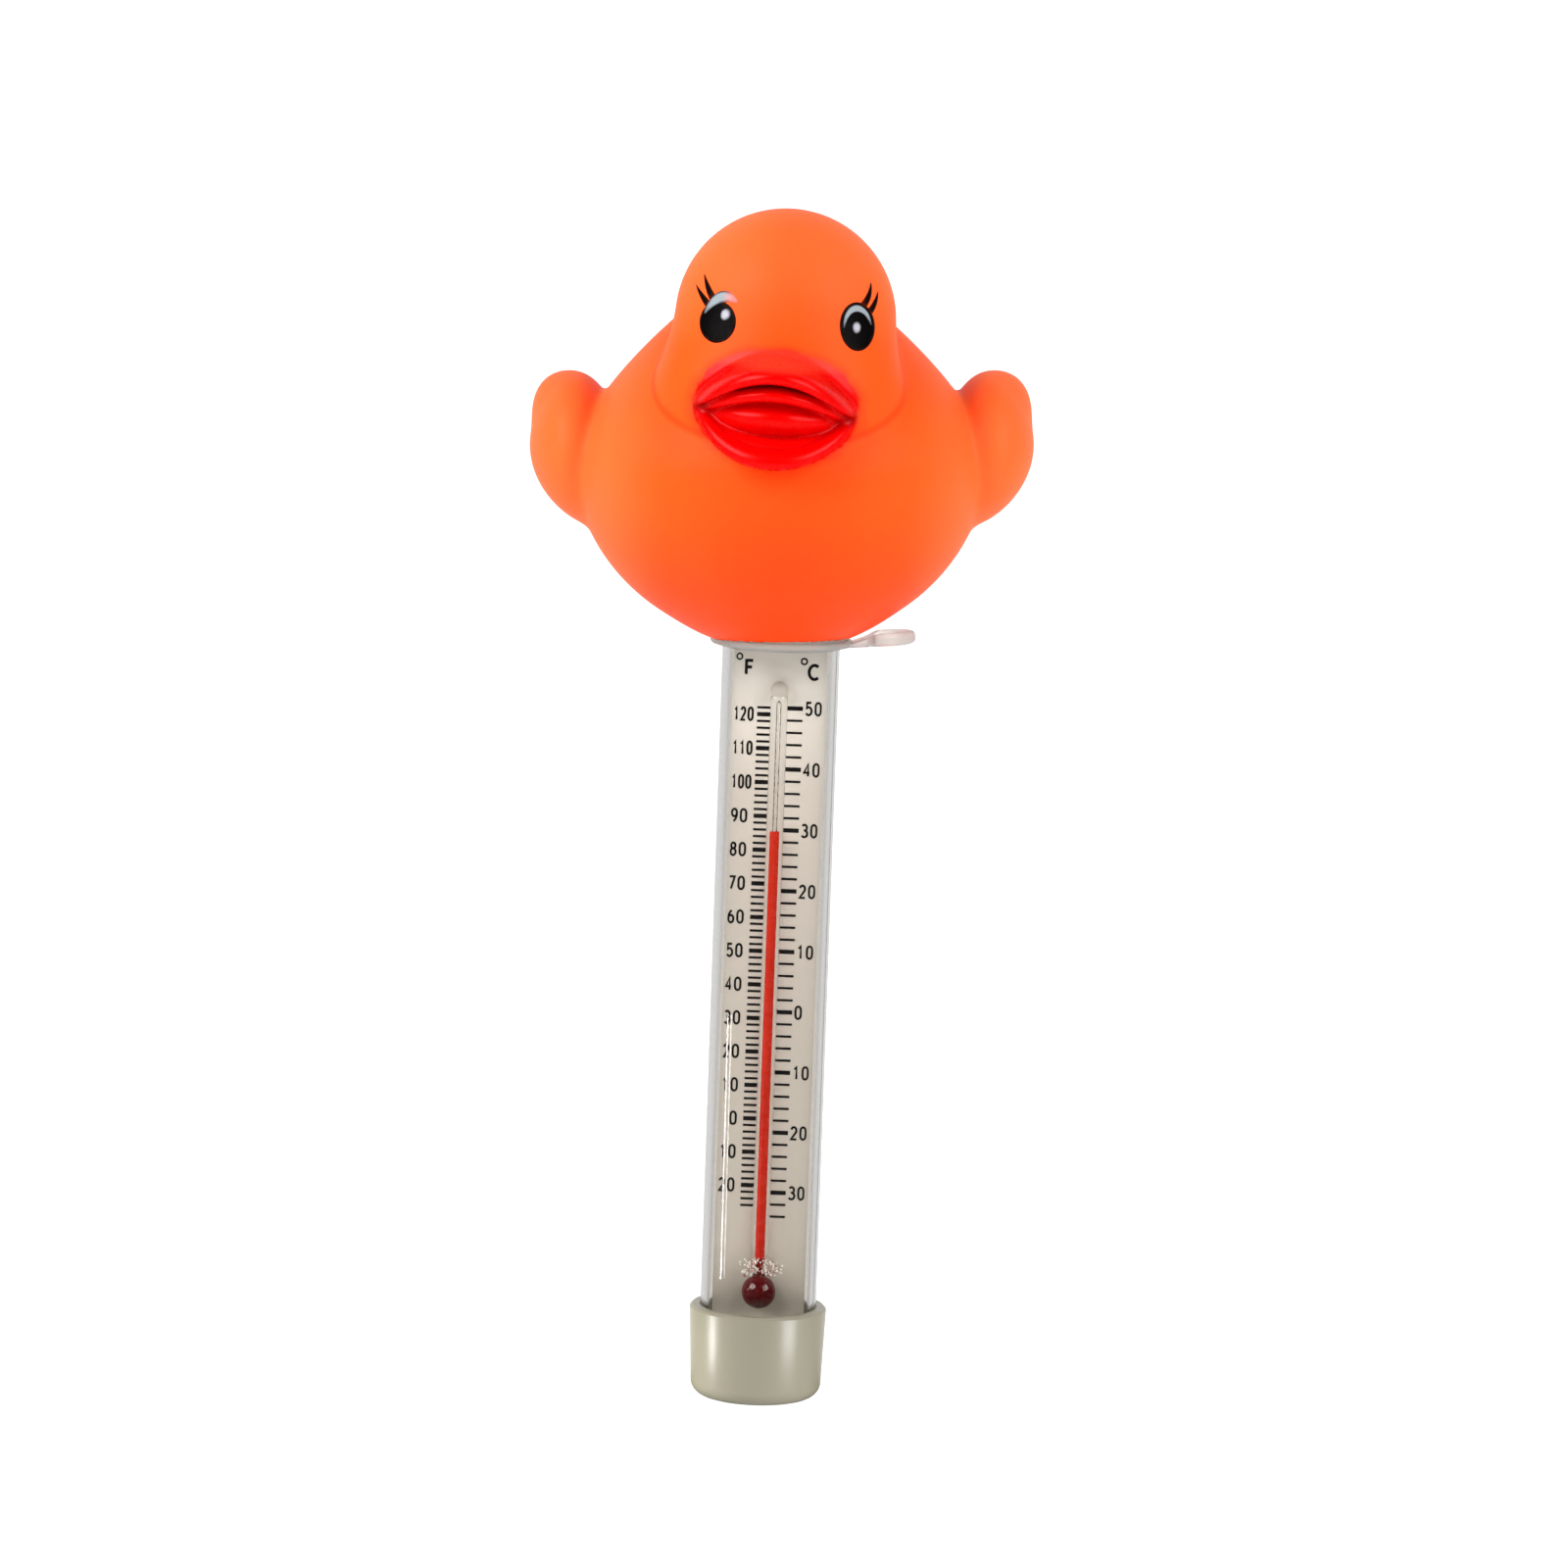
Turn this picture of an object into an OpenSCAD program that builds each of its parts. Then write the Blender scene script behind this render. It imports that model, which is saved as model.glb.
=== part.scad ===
// Floating pool thermometer: a hollow duck float on a clear tube that holds a
// spirit thermometer and its scale card. Millimetres, +Z up, the origin at the
// centre of the foot, +X towards the tether eyelet. The duck looks along -Y.

/* [Tube] */
// Outside diameter of the clear tube
tube_d = 19; // [18:0.5:20]
// Wall of the clear tube
tube_wall = 1.3; // [1:0.1:1.5]
// Height of the tube's lower end above the foot
tube_z0 = 2; // [2:0.1:2.2]
// Height of the tube's upper end above the foot
tube_z1 = 133; // [132:0.5:134]

/* [Bottom cap] */
// Diameter of the bottom cap at its rim
cap_d = 22.4; // [22:0.1:24]
// Height of the bottom cap
cap_h = 15; // [13:0.5:15.5]
// How much narrower the cap is at its foot
cap_draft = 1; // [0:0.1:1.5]
// Radius of the round edge at the foot
cap_fillet = 2.4; // [1:0.1:3]
// Thickness of the cap's floor
cap_floor = 1.8; // [1.2:0.1:1.9]
// Length of the plug inside the tube's lower end
plug_h = 2.7; // [2.5:0.1:3]

/* [Top cap] */
// Diameter of the collar under the duck
collar_d = 22.9; // [22.5:0.1:24]
// Height of the collar's seat, which the duck stands on
seat_z = 125.2; // [125:0.1:126]
// Thickness of the collar's straight edge
collar_t = 1.1; // [0.8:0.1:1.6]
// Height of the cone that tapers from the collar down to the tube
collar_cone = 0.4; // [0.3:0.1:2]
// Distance from the tube's axis to the eyelet's centre, along the eyelet
eyelet_x = 17.3; // [16.8:0.1:20]
// How far the eyelet tilts up, in degrees
eyelet_tilt = 5; // [0:1:8]
// Diameter of the eyelet's hole
eyelet_bore = 4.4; // [3:0.1:4.6]
// Width of the eyelet's ring
eyelet_w = 9; // [8:0.5:10]
// Thickness of the eyelet
eyelet_t = 2; // [1.6:0.1:2.4]

/* [Scale] */
// Width of the scale card
card_w = 15.8; // [14:0.1:15.8]
// Thickness of the scale card
card_t = 0.4; // [0.3:0.1:0.6]
// Height of the mark for 30 degrees Celsius above the foot
mark30_z = 93.5; // [92:0.5:95]
// Spacing of the Celsius marks, which is also the spirit's travel per degree
degree_pitch = 1; // [0.95:0.01:1]
// Lowest temperature on the scale, in degrees Celsius
scale_low = -30; // [-30:5:-20]
// Highest temperature on the scale, in degrees Celsius
scale_high = 50; // [40:5:50]

/* [Capillary] */
// Outside diameter of the glass stem
stem_d = 2.8; // [2.6:0.1:2.8]
// Diameter of the stem's bore
bore_d = 1.1; // [0.9:0.1:1.2]
// Outside diameter of the glass bulb
bulb_d = 5.6; // [5:0.1:5.8]
// Wall of the glass bulb
bulb_wall = 0.35; // [0.3:0.05:0.5]
// Height of the bulb's centre above the foot
bulb_z = 17.2; // [17:0.1:18]
// Length of stem above the highest mark
stem_top = 2.9; // [2.5:0.1:4]

/* [Ballast] */
// Diameter of a steel ballast ball
ball_d = 4.4; // [4:0.1:4.5]
// Number of balls around the middle one
ball_ring = 8; // [6:1:8]

/* [Duck] */
// Half width, half depth and half height of the body
body_r = [33.3, 34, 30.2]; // [32:0.1:36]
// Radius of the head
head_r = 17.6; // [16:0.1:19]
// Height of the head's centre in the duck's own frame
head_z = 51.3; // [49:0.1:53]
// Distance of the head's centre from the tube's axis, forward is negative
head_y = -11; // [-13:0.5:-9]
// Lean of the duck to the left on the tube, in degrees
duck_lean = 2; // [0:0.5:4]
// Wall of the duck's vinyl skin
skin = 2; // [1.6:0.1:2.4]
// Diameter of the opening in the duck's belly
neck_d = 21.8; // [21:0.1:22]
// Height of the duck's own frame above the collar's seat
duck_lift = 0.8; // [0.6:0.1:1]

/* [Hidden] */
$fn = 96;

slip = 0.1;
run_fit = 0.03;
bore_r = tube_d / 2 - tube_wall;
stem_r = stem_d / 2;
bulb_r = bulb_d / 2;
card_y = stem_r + 0.05;
card_z0 = 10.6;
card_z1 = seat_z + 1.2;
holder_z = 9.4;
holder_h = 2.6;
plug_z0 = tube_z0;
seal_r = 0.8;
groove_half = 0.85;
top_plug_z = 127.6;
top_seal_z = 130.4;
collar_z = seat_z - collar_t;
stub_r = neck_d / 2 - 0.35;
bulb_hole_r = 2.5;
low_seal_z = plug_z0 + plug_h / 2;
neck_z = bulb_z + bulb_r + 0.2;
neck_r = 0.95;
taper_z = neck_z + 3.2;
spirit_z0 = neck_z;
spirit_r = bore_d / 2 - run_fit;
tip_z = mark30_z + (scale_high - 30) * degree_pitch + stem_top;

// Points of an arc in a plane, about c, from angle a0 to a1
function arc(c, r, a0, a1, n = 8) = [
    for (i = [0:n]) let (a = a0 + (a1 - a0) * i / n) c + r * [cos(a), sin(a)]
];

// A plug's side, with the groove for its seal, as radius and height pairs
function grooved_side(r, z0, z1, seal_z) = [
    [r, z0],
    [r, seal_z - groove_half],
    [bore_r - 2 * seal_r - 0.05, seal_z - groove_half],
    [bore_r - 2 * seal_r - 0.05, seal_z + groove_half],
    [r, seal_z + groove_half],
    [r, z1]
];

// The glass outline from the bulb's lowest point up to the stem's tip
function glass_outline() = let (a = asin(neck_r / bulb_r)) concat(
    arc([0, bulb_z], bulb_r, -90, 90 - a, 20),
    [[neck_r, neck_z], [neck_r, neck_z + 0.8], [stem_r, taper_z]],
    arc([0, tip_z - stem_r], stem_r, 0, 90, 8)
);

// ---- the duck: a smooth field, and rays that step in to its skin -------------

body_c = [0, 0.5, body_r.z - 2.7];
ray_z = 38;
ray_spread = [18, 14, 12];
ray_reach = 62;
ray_steps = 22;
belly_angle = 163;
duck_rings = 44;
inner_rings = 20;
duck_sides = 64;

// Approximate distance to an ellipsoid
function ellipsoid(p, c, r) = let (
    q = [for (i = [0:2]) (p[i] - c[i]) / r[i]],
    k = norm(q),
    g = norm([for (i = [0:2]) q[i] / r[i]])
) k * (k - 1) / max(g, 0.001);

// Union and intersection with a round joint of width k
function blend(a, b, k) = let (h = max(k - abs(a - b), 0) / k) min(a, b) - h * h * k / 4;
function carve(a, b, k) = -blend(-a, -b, k);

// The body is an ellipsoid with sloping shoulders
function body_field(p) = let (
    q = p - body_c,
    shoulder = (norm([q.x, q.y * body_r.x / body_r.y]) + q.z - 41.6) / sqrt(2)
) carve(ellipsoid(p, body_c, body_r), shoulder, 9);

// A tail that points up behind
function tail_field(p) = blend(
    ellipsoid(p, [0, 29, 33], [14, 14, 11]),
    ellipsoid(p, [0, 34.5, 41], [7.5, 7.5, 8]), 10);

// One wing, for the side with positive x
function wing_field(p) = blend(
    ellipsoid(p, [32.6, 6, 30], [8.4, 15, 12.4]),
    ellipsoid(p, [33.8, 7, 36.5], [5.2, 8.5, 5.4]), 3);

function head_field(p) = blend(
    ellipsoid(p, [0.7, head_y, head_z], head_r * [1, 1, 1]),
    ellipsoid(p, [0.2, head_y - 1, head_z - 8.2], [20, 17.4, 12.3]), 3.5);

function bill_field(p) = ellipsoid(p, [-0.7, head_y - 16.5, head_z - 12.8], [13.3, 12.3, 9.6]);

function duck_field(p) = let (q = [abs(p.x), p.y, p.z]) blend(
    blend(blend(body_field(p), tail_field(p), 8), wing_field(q), 3),
    blend(head_field(p), bill_field(p), 1.5), 1.2);

// Where the ray in direction d starts: nearer to the wings and the tail, so that it meets them squarely
function ray_start(d) = let (back = pow(max(d.y, 0), 2), side = d.x * abs(d.x)) [
    ray_spread.x * side,
    ray_spread.y * back,
    ray_z - ray_spread.z * (abs(side) + back)
];

// Distance of the skin along the ray from c in direction d, stepping in from outside
function skin_reach(c, d, r, depth, left) = left == 0 ? r :
    skin_reach(c, d, r - 0.92 * (duck_field(c + r * d) + depth), depth, left - 1);

// The skin point in direction d, depth below the outer surface
function skin_point(d, depth) = let (c = ray_start(d)) placed(c + skin_reach(c, d, ray_reach, depth, ray_steps) * d);

// From the duck's own frame to the row's: the duck leans about its foot
function placed(p) = [
    p.x * cos(duck_lean) - p.z * sin(duck_lean),
    p.y,
    p.x * sin(duck_lean) + p.z * cos(duck_lean) + seat_z + duck_lift
];

// One ring of skin points at polar angle t, depth below the outer surface
function skin_ring(t, depth) = [
    for (i = [0:duck_sides - 1]) let (
        a = 360 * i / duck_sides
    ) skin_point([sin(t) * cos(a), sin(t) * sin(a), cos(t)], depth)
];

// A circle about the tube's axis at height z, which lines the belly's opening
function rim_ring(z) = [
    for (i = [0:duck_sides - 1]) let (a = 360 * i / duck_sides) [cos(a) * neck_d / 2, sin(a) * neck_d / 2, z]
];

module duck_solid() {
    outer = [for (i = [1:duck_rings]) skin_ring(belly_angle * i / duck_rings, 0)];
    inner = [for (i = [inner_rings:-1:1]) skin_ring(belly_angle * i / inner_rings, skin)];
    rings = concat(outer, [rim_ring(seat_z), rim_ring(seat_z + skin)], inner);
    up = [0, 0, 1];
    points = concat([skin_point(up, 0)], [for (r = rings) each r], [skin_point(up, skin)]);
    last = len(points) - 1;
    count = len(rings);
    polyhedron(points, concat(
        [for (j = [0:duck_sides - 1]) [0, 1 + (j + 1) % duck_sides, 1 + j]],
        [for (i = [0:count - 2], j = [0:duck_sides - 1]) let (
            a = 1 + i * duck_sides + j,
            b = 1 + i * duck_sides + (j + 1) % duck_sides
        ) each [[a, b, b + duck_sides], [a, b + duck_sides, a + duck_sides]]],
        [for (j = [0:duck_sides - 1]) [last, last - duck_sides + j, last - duck_sides + (j + 1) % duck_sides]]
    ));
}

// ---- sub-parts --------------------------------------------------------------

module duck_shell() {
    color("orangered") duck_solid();
}

// Bead of glue around the top cap's stub, in the opening of the duck's belly
module belly_bond() {
    bond_h = 1.2;
    color("ivory") translate([0, 0, seat_z]) difference() {
        cylinder(h = bond_h, r = neck_d / 2 - 0.05);
        translate([0, 0, -1]) cylinder(h = bond_h + 2, r = stub_r + 0.06);
    }
}

// Sleeve over the tube's upper end, with a collar, a stub inside the duck and a tether eyelet
module top_cap() {
    collar_r = collar_d / 2;
    sleeve_r = tube_d / 2 + 0.05;
    roof_z = tube_z1 + 0.2;
    roof_top = roof_z + 2.2;
    soft = 0.3;
    cone_lip = 0.2;
    barb = 0.7;
    barb_foot = seat_z + 2.6;
    barb_z = seat_z + 3.2;
    barb_top = seat_z + 5.2;
    crown = 0.8;
    color("ivory") {
        rotate_extrude() polygon(concat(
            [[0, top_plug_z]],
            grooved_side(bore_r - slip, top_plug_z, roof_z, top_seal_z),
            [
                [sleeve_r, roof_z],
                [sleeve_r, collar_z - collar_cone],
                [sleeve_r + cone_lip, collar_z - collar_cone],
                [collar_r - soft, collar_z],
                [collar_r, collar_z + soft],
                [collar_r, seat_z - soft],
                [collar_r - soft, seat_z],
                [stub_r, seat_z],
                [stub_r, barb_foot],
                [stub_r + barb, barb_z],
                [stub_r, barb_top],
                [stub_r, roof_top - crown],
                [stub_r - crown, roof_top],
                [0, roof_top]
            ]
        ));
        difference() {
            eyelet();
            belly_room();
        }
    }
}

// The space that the round belly takes above the eyelet
module belly_room() {
    reach = 22;
    room = 0.5;
    edge_r = collar_d / 2 - 0.4;
    function belly_z(r) = seat_z + duck_lift + body_c.z - body_r.z * sqrt(1 - pow(r / body_r.x, 2));
    rotate_extrude() polygon(concat(
        [[stub_r - 1, seat_z + 8], [stub_r - 1, seat_z], [edge_r, seat_z]],
        [for (r = [edge_r + 0.5:2:reach]) [r, belly_z(r) - room]],
        [[reach, seat_z + 8]]
    ));
}

// Flat ring with round edges, and the web that joins it to the collar
module eyelet() {
    edge = 0.7;
    ring_r = eyelet_w / 2;
    hole_r = eyelet_bore / 2;
    root_x = collar_d / 2 - 0.95;
    web_w = 6.4;
    translate([root_x, 0, collar_z]) rotate([0, -eyelet_tilt, 0]) {
        translate([eyelet_x - root_x, 0, 0]) rotate_extrude() polygon(concat(
            [[hole_r, 0]],
            arc([ring_r - edge, edge], edge, -90, 0),
            arc([ring_r - edge, eyelet_t - edge], edge, 0, 90),
            [[hole_r, eyelet_t]]
        ));
        translate([0, -web_w / 2, 0]) cube([eyelet_x - hole_r - 1 - root_x, web_w, eyelet_t]);
    }
}

module seal(z) {
    translate([0, 0, z]) rotate_extrude() translate([bore_r - seal_r - 0.02, 0]) circle(r = seal_r, $fn = 24);
}

module top_seal() {
    color("dimgray") seal(top_seal_z);
}

module tube() {
    color("gainsboro", 0.35) translate([0, 0, tube_z0]) difference() {
        cylinder(h = tube_z1 - tube_z0, d = tube_d);
        translate([0, 0, -1]) cylinder(h = tube_z1 - tube_z0 + 2, r = bore_r);
    }
}

// Card with a round hole that the bulb sits in
module scale_card() {
    color("antiquewhite") difference() {
        translate([-card_w / 2, card_y, card_z0]) cube([card_w, card_t, card_z1 - card_z0]);
        translate([0, card_y - 1, bulb_z]) rotate([-90, 0, 0]) cylinder(h = card_t + 2, r = bulb_hole_r);
    }
}

module capillary_glass() {
    color("lightgray", 0.4) difference() {
        rotate_extrude() polygon(glass_outline());
        translate([0, 0, bulb_z]) sphere(r = bulb_r - bulb_wall);
        translate([0, 0, bulb_z]) cylinder(h = tip_z - stem_r - bulb_z, d = bore_d);
    }
}

// The red thread, from the bulb's neck up to the mark for 30 degrees Celsius
module spirit_column() {
    color("crimson") translate([0, 0, spirit_z0]) cylinder(h = mark30_z - spirit_z0, r = spirit_r);
}

// The spirit that fills the bulb and its neck
module spirit_bulb() {
    fill_r = bulb_r - bulb_wall - run_fit;
    color("darkred") translate([0, 0, bulb_z]) {
        sphere(r = fill_r);
        cylinder(h = spirit_z0 - bulb_z, r = spirit_r);
    }
}

// Drop that fixes the stem's tip to the card
module glue_top() {
    color("white") difference() {
        translate([0, card_y - 1.5, tip_z + 0.1]) sphere(r = 1.5);
        rotate_extrude() polygon(glass_outline());
    }
}

// Domed drop of clear glue around the bulb's neck, stuck to the card
module glue_bottom() {
    dome_r = 3.6;
    color("whitesmoke", 0.5) difference() {
        intersection() {
            translate([0, card_y, neck_z + 0.5]) sphere(r = dome_r);
            translate([-dome_r, card_y - dome_r, neck_z - 0.4]) cube([2 * dome_r, dome_r, 4]);
        }
        rotate_extrude() polygon(glass_outline());
    }
}

// Disc above the ballast, with a slot for the card's lower end
module card_holder() {
    color("silver") translate([0, 0, holder_z]) difference() {
        cylinder(h = holder_h, r = bore_r - slip);
        translate([-bore_r, card_y - 0.05, card_z0 - holder_z]) cube([2 * bore_r, card_t + 0.1, holder_h]);
    }
}

module ballast_balls() {
    ring_r = bore_r - ball_d / 2 - 0.05;
    color("slategray") translate([0, 0, plug_z0 + plug_h + ball_d / 2 + 0.05]) {
        sphere(d = ball_d);
        for (i = [0:ball_ring - 1]) rotate([0, 0, 360 * i / ball_ring]) translate([ring_r, 0, 0]) sphere(d = ball_d);
    }
}

module bottom_plug() {
    color("gray") rotate_extrude() polygon(concat(
        [[0, plug_z0]],
        grooved_side(bore_r - slip, plug_z0, plug_z0 + plug_h, low_seal_z),
        [[0, plug_z0 + plug_h]]
    ));
}

module bottom_seal() {
    color("dimgray") seal(low_seal_z);
}

// Cup around the tube's lower end, slightly tapered, with a round foot edge
module bottom_cap() {
    rim_r = cap_d / 2;
    foot_r = rim_r - cap_draft / 2;
    color("tan") difference() {
        rotate_extrude() polygon(concat(
            [[0, 0]],
            arc([foot_r - cap_fillet, cap_fillet], cap_fillet, -90, 0),
            [[rim_r, cap_h - 0.4], [rim_r - 0.4, cap_h], [0, cap_h]]
        ));
        translate([0, 0, cap_floor]) cylinder(h = cap_h, r = tube_d / 2 + slip);
    }
}

duck_shell();
belly_bond();
top_cap();
top_seal();
tube();
scale_card();
capillary_glass();
spirit_column();
spirit_bulb();
glue_top();
glue_bottom();
card_holder();
ballast_balls();
bottom_plug();
bottom_seal();
bottom_cap();
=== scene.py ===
"""A floating pool thermometer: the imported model, dressed with its final surfaces."""
import math

import bpy
import numpy as np
from mathutils import Matrix, Vector


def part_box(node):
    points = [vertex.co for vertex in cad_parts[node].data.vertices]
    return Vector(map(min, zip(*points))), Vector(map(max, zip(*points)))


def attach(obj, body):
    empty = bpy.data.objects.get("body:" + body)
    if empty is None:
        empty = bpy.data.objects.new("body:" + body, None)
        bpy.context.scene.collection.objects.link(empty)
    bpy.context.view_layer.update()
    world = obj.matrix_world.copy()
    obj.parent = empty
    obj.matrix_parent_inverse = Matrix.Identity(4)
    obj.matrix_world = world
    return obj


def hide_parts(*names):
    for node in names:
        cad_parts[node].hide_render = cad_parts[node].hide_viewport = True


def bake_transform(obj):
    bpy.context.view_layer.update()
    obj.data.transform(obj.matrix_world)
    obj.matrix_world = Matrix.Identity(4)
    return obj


MM = 0.001
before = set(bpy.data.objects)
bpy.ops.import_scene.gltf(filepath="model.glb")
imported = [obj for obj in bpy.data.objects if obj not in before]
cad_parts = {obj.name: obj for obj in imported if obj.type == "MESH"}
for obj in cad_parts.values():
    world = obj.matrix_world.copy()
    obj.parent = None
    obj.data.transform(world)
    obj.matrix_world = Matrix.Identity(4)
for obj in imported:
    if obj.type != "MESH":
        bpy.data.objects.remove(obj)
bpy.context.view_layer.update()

# ---- places and sizes, in millimetres, from the frame -----------------------

BODY, SPIRIT = "root", "spirit"


def node_box(name):
    low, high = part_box(name)
    return np.array(low) / MM, np.array(high) / MM


card_low, card_high = node_box("scale_card")
glass_low, glass_high = node_box("capillary_glass")
_, thread_high = node_box("spirit_column")
bond_low, bond_high = node_box("belly_bond")

SEAT_Z = bond_low[2]
BELLY_HOLE_R = bond_high[0]
CARD_Y = card_low[1]
STEM_R = CARD_Y - 0.05
BULB_R = glass_high[0]
BULB_Z = glass_low[2] + BULB_R
LIQUID_R = BULB_R - 0.22
THREAD_R = thread_high[0]
TIP_Z = glass_high[2]
MARK30_Z = thread_high[2]
DUCK_LEAN = math.radians(-2.0)
DUCK_LIFT = 0.8

# ---- small helpers ----------------------------------------------------------


def mesh_object(name, verts, faces, material, smooth=True):
    """A mesh object from points in millimetres."""
    mesh = bpy.data.meshes.new(name)
    points = [tuple(v) for v in np.asarray(verts) * MM]
    mesh.from_pydata(points, [], [tuple(int(i) for i in f) for f in faces])
    mesh.validate()
    mesh.update()
    for polygon in mesh.polygons:
        polygon.use_smooth = smooth
    obj = bpy.data.objects.new(name, mesh)
    bpy.context.collection.objects.link(obj)
    mesh.materials.append(material)
    return obj


def lathe(profile, segments=128):
    """Points and faces of a profile of (radius, z) turned about Z. Radius 0 closes to a pole."""
    verts, rings = [], []
    for r, z in profile:
        if r < 1e-6:
            rings.append([len(verts)])
            verts.append((0, 0, z))
        else:
            rings.append(list(range(len(verts), len(verts) + segments)))
            for i in range(segments):
                a = 2 * math.pi * i / segments
                verts.append((r * math.cos(a), r * math.sin(a), z))
    faces = []
    for low, high in zip(rings, rings[1:]):
        for i in range(segments):
            j = (i + 1) % segments
            quad = [low[i % len(low)], low[j % len(low)], high[j % len(high)], high[i % len(high)]]
            face = list(dict.fromkeys(quad))
            if len(face) > 2:
                faces.append(face)
    return verts, faces


def arc(cx, cz, r, a0, a1, n=8):
    """Points of an arc in a plane, angles in degrees."""
    angles = [math.radians(a0 + (a1 - a0) * i / n) for i in range(n + 1)]
    return [(cx + r * math.cos(a), cz + r * math.sin(a)) for a in angles]


# ---- materials --------------------------------------------------------------


class Shader:
    """A material's node tree, with short calls for the nodes that it uses."""

    def __init__(self, name):
        self.material = bpy.data.materials.new(name)
        self.material.use_nodes = True
        self.tree = self.material.node_tree
        self.tree.nodes.clear()
        self.out = self.node("ShaderNodeOutputMaterial")
        self.bsdf = self.node("ShaderNodeBsdfPrincipled")
        self.link(self.bsdf.outputs[0], self.out.inputs[0])
        self.coords = self.node("ShaderNodeTexCoord").outputs["Object"]

    def node(self, kind, **settings):
        made = self.tree.nodes.new(kind)
        for key, value in settings.items():
            setattr(made, key, value)
        return made

    def link(self, a, b):
        self.tree.links.new(a, b)

    def set(self, **values):
        for key, value in values.items():
            self.bsdf.inputs[key.replace("_", " ")].default_value = value
        return self

    def noise(self, scale, detail=3.0, roughness=0.5, stretch=None):
        made = self.node("ShaderNodeTexNoise")
        made.inputs["Scale"].default_value = scale
        made.inputs["Detail"].default_value = detail
        made.inputs["Roughness"].default_value = roughness
        vector = self.coords
        if stretch:
            mapping = self.node("ShaderNodeMapping")
            mapping.inputs["Scale"].default_value = stretch
            self.link(vector, mapping.inputs["Vector"])
            vector = mapping.outputs[0]
        self.link(vector, made.inputs["Vector"])
        return made.outputs["Fac"]

    def ramp(self, value, low, high, out_low=0.0, out_high=1.0, smooth=True):
        made = self.node("ShaderNodeMapRange", interpolation_type="SMOOTHSTEP" if smooth else "LINEAR")
        for key, number in (("From Min", low), ("From Max", high), ("To Min", out_low), ("To Max", out_high)):
            made.inputs[key].default_value = number
        self.link(value, made.inputs["Value"])
        return made.outputs["Result"]

    def mix(self, factor, a, b, blend="MIX"):
        made = self.node("ShaderNodeMix", data_type="RGBA", blend_type=blend)
        for socket, value in ((made.inputs[0], factor), (made.inputs[6], a), (made.inputs[7], b)):
            if hasattr(value, "is_output"):
                self.link(value, socket)
            else:
                socket.default_value = value
        return made.outputs[2]

    def add(self, a, b):
        made = self.node("ShaderNodeMath", operation="ADD")
        self.link(a, made.inputs[0])
        self.link(b, made.inputs[1])
        return made.outputs[0]

    def attribute(self, name):
        made = self.node("ShaderNodeAttribute", attribute_name=name)
        return made.outputs["Fac"]

    def bump(self, height, distance, strength=1.0):
        made = self.node("ShaderNodeBump")
        made.inputs["Distance"].default_value = distance
        made.inputs["Strength"].default_value = strength
        self.link(height, made.inputs["Height"])
        self.link(made.outputs[0], self.bsdf.inputs["Normal"])

    def let_light_in(self):
        """Lamps and scattered light pass straight through, so that what is behind the surface is lit."""
        path = self.node("ShaderNodeLightPath")
        either = self.node("ShaderNodeMath", operation="MAXIMUM")
        self.link(path.outputs["Is Shadow Ray"], either.inputs[0])
        self.link(path.outputs["Is Diffuse Ray"], either.inputs[1])
        open_way = self.node("ShaderNodeBsdfTransparent")
        both = self.node("ShaderNodeMixShader")
        self.link(either.outputs[0], both.inputs[0])
        self.link(self.bsdf.outputs[0], both.inputs[1])
        self.link(open_way.outputs[0], both.inputs[2])
        self.link(both.outputs[0], self.out.inputs[0])

    def into(self, value, socket):
        self.link(value, self.bsdf.inputs[socket])


def hex_rgb(code, alpha=1.0):
    """Linear RGBA of an sRGB hex colour."""
    parts = [int(code[i:i + 2], 16) / 255 for i in (0, 2, 4)]
    return [c / 12.92 if c <= 0.04045 else ((c + 0.055) / 1.055) ** 2.4 for c in parts] + [alpha]


def grey(value):
    return (value, value, value, 1)


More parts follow.
